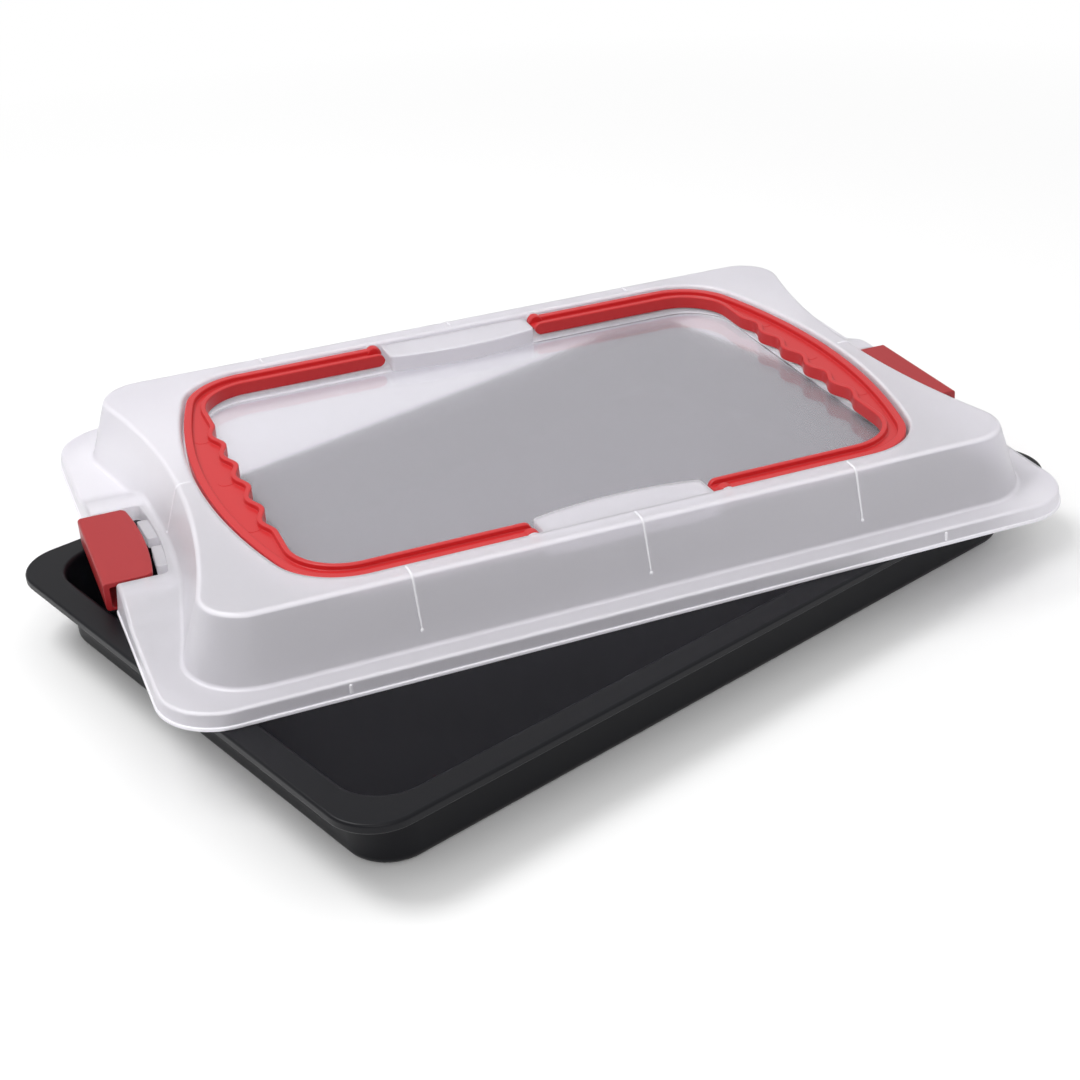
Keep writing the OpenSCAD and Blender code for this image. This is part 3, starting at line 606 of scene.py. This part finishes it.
# Gives the window's level faces the second material, and the third, less clear one to ribs and ticks, where
# the plastic is thickest, and to the skirt's lower edge, where its whiteness is a painted highlight line on
# a slightly thicker bead. Ribs and ticks are told from the walls under them by their small faces.
def markFaces(obj):
    mesh = obj.data
    count = len(mesh.polygons)
    centre, normal, area = np.empty(count * 3), np.empty(count * 3), np.empty(count)
    mesh.polygons.foreach_get("center", centre)
    mesh.polygons.foreach_get("normal", normal)
    mesh.polygons.foreach_get("area", area)
    centre, normal = centre.reshape(-1, 3) / mm, normal.reshape(-1, 3)
    farX, farY, z = np.abs(centre[:, 0]), np.abs(centre[:, 1]), centre[:, 2]
    slack, landStart, footEnd, smallArea, edgeTop = 0.2, 1.5, 1.0, 1.5, 1.75
    window = ((farX < windowX) & (farY < windowY) & (np.abs(normal[:, 2]) > 0.9)
              & (z < windowZ + slack) & (z > windowZ - lid["wall"] - slack))
    overRib = np.abs(farX - lid["ribPitch"] * np.round(farX / lid["ribPitch"])) < lid["ribR"]
    sideRib = overRib & (farY > recessY + landStart) & (farY < domeY + domeFoot - footEnd)
    endRib = (farY < lid["ribR"]) & (farX > recessX + landStart) & (farX < domeX + domeFoot - footEnd)
    rib = (sideRib | endRib) & (z > lid["ribLow"] - 1.2)
    tick = (np.abs(farX - lid["tickX"]) < lid["tickR"]) & (farY > skirtY - 4) & (z < lid["flangeZ"])
    # The skirt's lower edge gets the less clear plastic as a painted highlight line
    thickAndEdgeLine = (area < smallArea * mm * mm) & (rib | tick) | (z < edgeTop)
    slots = np.where(window, 1, np.where(thickAndEdgeLine, 2, 0)).astype(np.int32)
    mesh.polygons.foreach_set("material_index", slots)
    mesh.update()


# Section of a handle as offsets from its edges: an outer rib, an inner rib and a web between
# them, all with rounded edges. The second result says which edge each point belongs to.
def handleSection():
    b = bail
    h, r = b["height"], b["edgeR"]
    webLow, webHigh, fillet = (h - b["web"]) / 2, (h + b["web"]) / 2, b["webFillet"]
    outer = np.concatenate([
        arcPoints((r, r), r, 270, 180, 4), arcPoints((r, h - r), r, 180, 90, 4),
        arcPoints((b["outerRib"] - r, h - r), r, 90, 0, 4),
        arcPoints((b["outerRib"] + fillet, webHigh + fillet), fillet, 180, 270, 3)])
    inner = np.concatenate([
        arcPoints((b["innerRib"] + fillet, webHigh + fillet), fillet, 270, 180, 3),
        arcPoints((b["innerRib"] - r, h - r), r, 0, 90, 4),
        arcPoints((r, h - r), r, 90, 180, 4), arcPoints((r, r), r, 180, 270, 4),
        arcPoints((b["innerRib"] - r, r), r, 270, 360, 4),
        arcPoints((b["innerRib"] + fillet, webLow - fillet), fillet, 180, 90, 3)])
    back = np.concatenate([
        arcPoints((b["outerRib"] + fillet, webLow - fillet), fillet, 90, 180, 3),
        arcPoints((b["outerRib"] - r, r), r, 0, -90, 4)])
    side = np.concatenate([np.zeros(len(outer)), np.ones(len(inner)), np.zeros(len(back))])
    return np.concatenate([outer, inner, back]), side


# Outer and inner edge of a handle's plan, point for point, from one arm's tip round to the other's.
# The outer one is an arm, a corner's arc and the grip's arc. The inner one is an arm, a corner's
# arc and finger waves, half of waveDepth times (1 + cos) over wavePitch, which fade out at the ends.
def handleEdges():
    b = bail
    outline = makeOutline(bailReach, bailHalf, b["cornerR"], b["endR"])
    armPart, cornerPart, gripPart, tipPart = 14, 26, 150, 9
    tipX = b["pivotX"] - b["tipR"] * np.cos(np.linspace(0, np.pi / 2, tipPart + 1))[:-1]
    corner = arcPoints((outline["cx"], outline["cy"]), b["cornerR"], 90, outline["start"], cornerPart)
    armX = np.concatenate([tipX, np.linspace(b["pivotX"], outline["cx"], armPart + 1)[:-1]])
    arm = np.column_stack([armX, np.full(len(armX), bailHalf)])
    gripAngle = math.radians(outline["start"]) * np.linspace(1, 0, gripPart + 1)[1:]
    grip = np.column_stack([outline["endX"] + b["endR"] * np.cos(gripAngle), b["endR"] * np.sin(gripAngle)])
    outer = np.concatenate([arm, corner, grip])
    r, half = b["innerCornerR"], bailHalf - b["armWidth"]
    base = bailReach - b["waveBase"]
    armX = np.concatenate([tipX, np.linspace(b["pivotX"], base - r, armPart + 1)[:-1]])
    arm = np.column_stack([armX, np.full(len(armX), half)])
    corner = arcPoints((base - r, half - r), r, 90, 0, cornerPart)
    y = np.linspace(half - r, 0, gripPart + 1)[1:]
    fade = np.clip((b["waveCount"] / 2 * b["wavePitch"] - y) / b["waveFade"] + 0.5, 0, 1)
    wave = b["waveDepth"] / 2 * (1 + np.cos(2 * np.pi * y / b["wavePitch"])) * fade
    grip = np.column_stack([base + wave, y])
    inner = np.concatenate([arm, corner, grip])
    mirror = np.array([1, -1])
    return [np.concatenate([edge, (edge * mirror)[-2::-1]]) for edge in (outer, inner)]


# Unit normals of a plan curve, to its right as it runs
def rightNormals(curve):
    run = np.gradient(curve, axis=0)
    normal = np.column_stack([run[:, 1], -run[:, 0]])
    return normal / np.linalg.norm(normal, axis=1, keepdims=True)


# A handle: the section is carried along both edges at once, the outer rib from the outer edge
# and the inner rib from the inner edge, so the web widens where the grip does. Towards an arm's
# tip the section's height closes in on its middle as a half circle. Hubs, pins and the three
# round ejector marks are joined on.
def buildHandle(name, mirrored):
    b = bail
    section, side = handleSection()
    outer, inner = handleEdges()
    inward, outward = rightNormals(outer), -rightNormals(inner)
    fromOuter = outer[:, None, :] + inward[:, None, :] * section[None, :, :1]
    fromInner = inner[:, None, :] + outward[:, None, :] * section[None, :, :1]
    plan = np.where(side[None, :, None] == 0, fromOuter, fromInner)
    beyond = np.clip((b["pivotX"] - outer[:, 0]) / b["tipR"], 0, 0.995)
    squeeze = np.sqrt(1 - beyond ** 2)
    middle = b["height"] / 2
    height = bailZ + middle + (section[None, :, 1] - middle) * squeeze[:, None]
    obj = makeObject(name, [ringSolid(np.concatenate([plan, height[..., None]], axis=2))])
    hub = roundedEnd(hubR, bailHalf - b["hubWidth"], bailHalf, b["hubEdgeR"])
    hub = [(hubR - b["hubEdgeR"], hub[0][1]), (hubR, hub[0][1] + b["hubEdgeR"])] + hub[1:]
    pin = roundedEnd(b["pinD"] / 2, bailHalf - 1, recessY + lid["wall"] - b["pinShort"], pinEndR)
    ends = [turnedSolid((b["pivotX"], pivotZ), profile) for profile in (hub, pin)]
    webTop = bailZ + (b["height"] + b["web"]) / 2
    circle = arcPoints((0, 0), b["markR"], 0, 352.5, 47)
    marks = [prismSolid(circle + np.array([b["markX"], k * b["markPitch"]]),
                        webTop - b["markSunk"], webTop + b["markRise"], b["markEdgeR"], 2)
             for k in (-1, 0, 1)]
    combine(obj, "UNION", mirrorSolids(ends, bothSides) + marks)
    finishObject(obj, 38)
    seatOnPan(obj, mirrored)
    return obj


# Section of a clip, anticlockwise in (outwards, up): plate, outer wall and lip. Every convex
# edge is an arc, and so are the two fillets inside.
def hookSection():
    k = hook
    top, low, out = k["top"], k["bottom"], hookOut
    plateLow, wallIn, lipTop, lipIn = top - k["plate"], out - k["wall"], low + k["lip"], out - k["lipWidth"]
    nose, outer, fillet, lipR = k["noseR"], k["outerR"], k["innerFillet"], k["lip"] / 2 - 0.02
    return np.concatenate([
        arcPoints((hookIn + nose, top - nose), nose, 180, 90, 4)[::-1],
        arcPoints((hookIn + nose, plateLow + nose), nose, 180, 270, 4),
        np.column_stack([np.linspace(hookIn + 2, wallIn - fillet - 0.5, 8), np.full(8, plateLow)]),
        arcPoints((wallIn - fillet, plateLow - fillet), fillet, 90, 0, 4),
        arcPoints((wallIn - fillet, lipTop + fillet), fillet, 0, -90, 4),
        arcPoints((lipIn + lipR, low + lipR), lipR, 90, 270, 6),
        arcPoints((out - outer, low + outer), outer, 270, 360, 6),
        arcPoints((out - outer, top - outer), outer, 0, 90, 6),
        np.column_stack([np.linspace(out - outer - 0.5, hookIn + 2, 8), np.full(8, top)])])


# A clip: the section runs across the lid. Its plate's inner part is drawn out to an inner edge
# that bulges as a parabola and ends in round corners, and the section shrinks by a quarter
# circle at both ends. Ears and pins are joined on.
def buildHook(name, mirrored):
    k = hook
    section = hookSection()
    half = k["width"] / 2
    turn = np.radians(np.linspace(0, 90, 6))
    bend = half - k["cornerR"] + k["cornerR"] * np.sin(np.radians(np.linspace(0, 78, 9)))
    inner = np.concatenate([np.linspace(0, half - k["cornerR"], 14)[:-1],
                            bend[bend < half - k["endR"] - 0.05]])
    y = np.concatenate([inner, half - k["endR"] + k["endR"] * np.sin(turn)])
    shrink = np.concatenate([np.zeros(len(inner)), k["endR"] * (1 - np.cos(turn))])
    y = np.concatenate([-y[:0:-1], y])
    shrink = np.concatenate([shrink[:0:-1], shrink])
    over = np.clip(np.abs(y) - (half - k["cornerR"]), 0, k["cornerR"])
    innerX = (hookIn + k["bulge"] * (y / half) ** 2
              + k["cornerR"] - np.sqrt(k["cornerR"] ** 2 - over ** 2))
    drawn = hookIn + k["bulgeDepth"]
    normals = closedNormals(section)
    shape = section[None] - normals[None] * shrink[:, None, None]
    pull = (drawn - innerX) / (drawn - hookIn)
    x = shape[..., 0]
    x = np.where(x < drawn, drawn - (drawn - x) * pull[:, None], x)
    rings = np.stack([x, np.broadcast_to(y[:, None], x.shape), shape[..., 1]], axis=-1)
    obj = makeObject(name, [ringSolid(rings)])
    reach = notchHalf + k["wallRoom"]
    earStart, r = half - k["earWidth"], k["earEdgeR"]
    ear = [(k["earR"] - r, earStart)] + roundedEnd(k["earR"], earStart + r, half - 0.02, r)
    pin = roundedEnd(k["pinD"] / 2, half - 1, reach, pinEndR)
    ends = [turnedSolid((pinX, k["pinZ"]), profile) for profile in (ear, pin)]
    combine(obj, "UNION", mirrorSolids(ends, bothSides))
    finishObject(obj, 38)
    seatOnPan(obj, mirrored)
    return obj


# Non-stick coating on pressed steel: charcoal lacquer sprayed and baked, satin with a fine
# orange-peel grain, and a shine that varies a little from place to place
def panMaterial():
    material, tree, output = newMaterial("panCoating")
    place = addNode(tree, "ShaderNodeTexCoord")
    bump = addGrain(tree, place, pan["orangePeel"], 0.05, 0.12, 3.0, 0.55)
    patches = addNode(tree, "ShaderNodeTexNoise", links={"Vector": place.outputs["Object"]},
                      values={"Scale": 1 / (pan["patches"] * mm), "Detail": 2.0})
    rough = addNode(tree, "ShaderNodeMapRange", links={"Value": patches.outputs["Fac"]},
                    values={"To Min": pan["roughness"] - 0.03, "To Max": pan["roughness"] + 0.05})
    shader = addNode(tree, "ShaderNodeBsdfPrincipled",
                     values={"Base Color": linearColour(pan["colour"]),
                             "Specular IOR Level": pan["specular"]},
                     links={"Roughness": rough.outputs["Result"], "Normal": bump.outputs["Normal"]})
    tree.links.new(shader.outputs["BSDF"], output.inputs["Surface"])
    return material


# Injection-moulded polypropylene in its natural colour. It is milky, so part of the light comes back from
# each surface, and the mould's finish blurs what is seen through it. Rounded edges, found by how far their
# normals lean between a wall's and a top's, let less light through and look whiter: a painted highlight,
# which partly stands for the longer path through the milky plastic there. It is left off the hollow bend at
# the foot of the dome's wall. Lamps shine through it softly, as they do through a thin milky wall.
def lidMaterial(name, colour, roughness, clearShare, edgeMilkAndHighlight, lampShare):
    material, tree, output = newMaterial(name)
    place = addNode(tree, "ShaderNodeTexCoord")
    bump = addGrain(tree, place, lid["grain"], 0.04, 0.06, 2.0)
    clouds = addNode(tree, "ShaderNodeTexNoise", links={"Vector": place.outputs["Object"]},
                     values={"Scale": 1 / (lid["clouds"] * mm), "Detail": 3.0})
    rough = addNode(tree, "ShaderNodeMapRange", links={"Value": clouds.outputs["Fac"]},
                    values={"To Min": roughness - 0.03, "To Max": roughness + 0.03})
    # Painted highlight: rounded edges, found by their normals' lean, let less light through and look whiter
    upward = addNode(tree, "ShaderNodeSeparateXYZ", links={"Vector": place.outputs["Normal"]})
    fromWall = addNode(tree, "ShaderNodeMapRange", values={"From Min": 0.4, "From Max": 0.6},
                       links={"Value": upward.outputs["Z"]})
    fromTop = addNode(tree, "ShaderNodeMapRange", values={"From Min": 0.985, "From Max": 0.85},
                      links={"Value": upward.outputs["Z"]})
    lean = addNode(tree, "ShaderNodeMath", {"operation": "MULTIPLY"},
                   links={0: fromWall.outputs["Result"], 1: fromTop.outputs["Result"]})
    height = addNode(tree, "ShaderNodeSeparateXYZ", links={"Vector": place.outputs["Object"]})
    away = addNode(tree, "ShaderNodeMath", {"operation": "SUBTRACT"}, {1: lid["wallMiddle"] * mm},
                   {0: height.outputs["Z"]})
    away = addNode(tree, "ShaderNodeMath", {"operation": "ABSOLUTE"}, links={0: away.outputs["Value"]})
    offWall = addNode(tree, "ShaderNodeMapRange", links={"Value": away.outputs["Value"]},
                      values={"From Min": lid["wallHalf"] * mm,
                              "From Max": (lid["wallHalf"] + lid["wallFade"]) * mm})
    edge = addNode(tree, "ShaderNodeMath", {"operation": "MULTIPLY"},
                   links={0: lean.outputs["Value"], 1: offWall.outputs["Result"]})
    clear = addNode(tree, "ShaderNodeMapRange", links={"Value": edge.outputs["Value"]},
                    values={"To Min": clearShare, "To Max": clearShare - edgeMilkAndHighlight})
    plastic = addNode(tree, "ShaderNodeBsdfPrincipled",
                      values={"Base Color": linearColour(colour), "IOR": 1.49},
                      links={"Normal": bump.outputs["Normal"], "Roughness": rough.outputs["Result"],
                             "Transmission Weight": clear.outputs["Result"]})
    through = addNode(tree, "ShaderNodeBsdfTransparent",
                      values={"Color": (lampShare, lampShare, lampShare, 1.0)})
    light = addNode(tree, "ShaderNodeLightPath")
    mix = addNode(tree, "ShaderNodeMixShader",
                  links={"Fac": light.outputs["Is Shadow Ray"],
                         1: plastic.outputs["BSDF"], 2: through.outputs["BSDF"]})
    tree.links.new(mix.outputs["Shader"], output.inputs["Surface"])
    return material


# Red polypropylene, moulded in solid colour: satin, with a fine spark-eroded grain and a little
# light that travels under the surface
def redMaterial(name, piece):
    material, tree, output = newMaterial(name)
    place = addNode(tree, "ShaderNodeTexCoord")
    bump = addGrain(tree, place, piece["grain"], 0.04, 0.1, 3.0)
    shader = addNode(tree, "ShaderNodeBsdfPrincipled",
                     values={"Base Color": linearColour(piece["colour"]), "Roughness": piece["roughness"],
                             "Subsurface Weight": 0.08, "Subsurface Radius": (0.004, 0.001, 0.001)},
                     links={"Normal": bump.outputs["Normal"]})
    tree.links.new(shader.outputs["BSDF"], output.inputs["Surface"])
    return material


panObj = buildPan()
panObj.data.materials.append(panMaterial())
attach(panObj, "pan_and_lid")
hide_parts("pan")
print("pan built")

lidObj = buildLid()
lidObj.data.materials.clear()
for name, finish in lid["finishes"].items():
    lidObj.data.materials.append(lidMaterial(name, *finish))
markFaces(lidObj)
seatOnPan(lidObj)
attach(lidObj, "pan_and_lid")
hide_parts("lid")
print("lid built")

handleRed = redMaterial("handlePlastic", bail)
for side in ("left", "right"):
    handle = buildHandle("handle" + side.capitalize(), side == "left")
    handle.data.materials.clear()
    handle.data.materials.append(handleRed)
    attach(handle, "bail_" + side)
    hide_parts("handle_" + side)
print("handles built")

clipRed = redMaterial("clipPlastic", hook)
for side in ("left", "right"):
    clip = buildHook("clip" + side.capitalize(), side == "left")
    clip.data.materials.clear()
    clip.data.materials.append(clipRed)
    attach(clip, "hook_" + side)
    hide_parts("clip_" + side)
print("clips built")


# Floor, lamps, world and camera. The camera is solved from the photograph: where it looks from
# and at, in millimetres and degrees. The lamps' places and sizes and the floor are in metres.
studio = {
    "floorHalf": 3.0, "paper": "#E4E4E6", "paperSeen": "#FDFDFD", "fadeStart": 0.45, "fadeEnd": 1.1,
    "worldLow": 0.35, "worldHigh": 0.9,
    "lamps": {  # place, size and watts
        "keyLamp": ((-0.5, 0.5, 1.4), (0.6, 0.6), 9),
        "sideLamp": ((1.2, -0.6, 0.9), (0.8, 0.8), 1.4),
        "frontLamp": ((-0.9, -1.1, 0.9), (0.9, 0.7), 4),
    },
    "lampTarget": (0, 0, 0.03),
    "azimuth": -38.79, "elevation": 28.85, "roll": -3.25, "distance": 859.17,
    "target": (-12.44, -10.23, 31.07), "lens": 60.49,
}


# A matt white paper floor. Camera, mirror and see-through rays find it a little lighter than
# lamps do, and it fades to plain white away from the object.
def floorMaterial():
    material, tree, output = newMaterial("floorPaper")
    place = addNode(tree, "ShaderNodeTexCoord")
    away = addNode(tree, "ShaderNodeVectorMath", {"operation": "LENGTH"},
                   links={0: place.outputs["Object"]})
    fade = addNode(tree, "ShaderNodeMapRange", links={"Value": away.outputs["Value"]},
                   values={"From Min": studio["fadeStart"], "From Max": studio["fadeEnd"]})
    light = addNode(tree, "ShaderNodeLightPath")
    seen = addNode(tree, "ShaderNodeMath", {"operation": "MAXIMUM"},
                   links={0: light.outputs["Is Camera Ray"], 1: light.outputs["Is Glossy Ray"]})
    seen = addNode(tree, "ShaderNodeMath", {"operation": "MAXIMUM"},
                   links={0: seen.outputs["Value"], 1: light.outputs["Is Transmission Ray"]})
    colour = addNode(tree, "ShaderNodeMix", {"data_type": "RGBA"}, links={"Factor": seen.outputs["Value"]})
    colour.inputs[6].default_value = linearColour(studio["paper"])
    colour.inputs[7].default_value = linearColour(studio["paperSeen"])
    paper = addNode(tree, "ShaderNodeBsdfDiffuse", links={"Color": colour.outputs[2]})
    white = addNode(tree, "ShaderNodeEmission", values={"Color": (1, 1, 1, 1), "Strength": 1.0})
    far = addNode(tree, "ShaderNodeMath", {"operation": "MULTIPLY"},
                  links={0: fade.outputs["Result"], 1: seen.outputs["Value"]})
    mix = addNode(tree, "ShaderNodeMixShader",
                  links={"Fac": far.outputs["Value"],
                         1: paper.outputs["BSDF"], 2: white.outputs["Emission"]})
    tree.links.new(mix.outputs["Shader"], output.inputs["Surface"])
    return material


# A square sheet on the ground
def buildFloor():
    size = studio["floorHalf"]
    corners = [(-size, -size, 0), (size, -size, 0), (size, size, 0), (-size, size, 0)]
    mesh = bpy.data.meshes.new("floor")
    mesh.from_pydata(corners, [], [(0, 1, 2, 3)])
    obj = addObject("floor", mesh)
    obj.data.materials.append(floorMaterial())


# A soft box that looks at the lamps' target
def addLamp(name, place, size, watts):
    lamp = bpy.data.lights.new(name, "AREA")
    lamp.shape = "RECTANGLE"
    lamp.size, lamp.size_y = size
    lamp.energy = watts
    obj = addObject(name, lamp)
    obj.location = place
    aim = Vector(studio["lampTarget"]) - Vector(place)
    obj.rotation_euler = aim.to_track_quat("-Z", "Y").to_euler()


# White to camera and see-through rays. For light and mirrors its strength goes from worldLow at
# the horizon to worldHigh overhead.
def buildWorld():
    world = bpy.data.worlds.new("studio")
    bpy.context.scene.world = world
    world.use_nodes = True
    tree = world.node_tree
    tree.nodes.clear()
    output = tree.nodes.new("ShaderNodeOutputWorld")
    light = addNode(tree, "ShaderNodeLightPath")
    seen = addNode(tree, "ShaderNodeMath", {"operation": "MAXIMUM"},
                   links={0: light.outputs["Is Camera Ray"], 1: light.outputs["Is Transmission Ray"]})
    place = addNode(tree, "ShaderNodeTexCoord")
    height = addNode(tree, "ShaderNodeSeparateXYZ", links={"Vector": place.outputs["Generated"]})
    dome = addNode(tree, "ShaderNodeMapRange", links={"Value": height.outputs["Z"]},
                   values={"To Min": studio["worldLow"], "To Max": studio["worldHigh"]})
    strength = addNode(tree, "ShaderNodeMapRange", values={"To Max": 1.0},
                       links={"Value": seen.outputs["Value"], "To Min": dome.outputs["Result"]})
    sky = addNode(tree, "ShaderNodeBackground", values={"Color": (1, 1, 1, 1)},
                  links={"Strength": strength.outputs["Result"]})
    tree.links.new(sky.outputs["Background"], output.inputs["Surface"])


# The camera stands back from its target by distance, in the direction that azimuth and elevation
# give, and is turned about its line of sight by roll
def buildCamera():
    az, el, roll = (math.radians(studio[k]) for k in ("azimuth", "elevation", "roll"))
    back = Vector((math.sin(az) * math.cos(el), -math.cos(az) * math.cos(el), math.sin(el)))
    right = (-back).cross(Vector((0, 0, 1))).normalized()
    up = right.cross(-back)
    turnedRight = right * math.cos(roll) + up * math.sin(roll)
    turnedUp = up * math.cos(roll) - right * math.sin(roll)
    camera = bpy.data.cameras.new("camera")
    camera.lens, camera.sensor_width = studio["lens"], 36.0
    obj = addObject("camera", camera)
    turn = Matrix((turnedRight, turnedUp, back)).transposed()
    place = Vector(studio["target"]) * mm + back * studio["distance"] * mm
    obj.matrix_world = Matrix.Translation(place) @ turn.to_4x4()
    bpy.context.scene.camera = obj


buildFloor()
for name, (place, size, watts) in studio["lamps"].items():
    addLamp(name, place, size, watts)
buildWorld()
buildCamera()
bpy.context.scene.view_settings.view_transform = "Standard"
print("studio set")
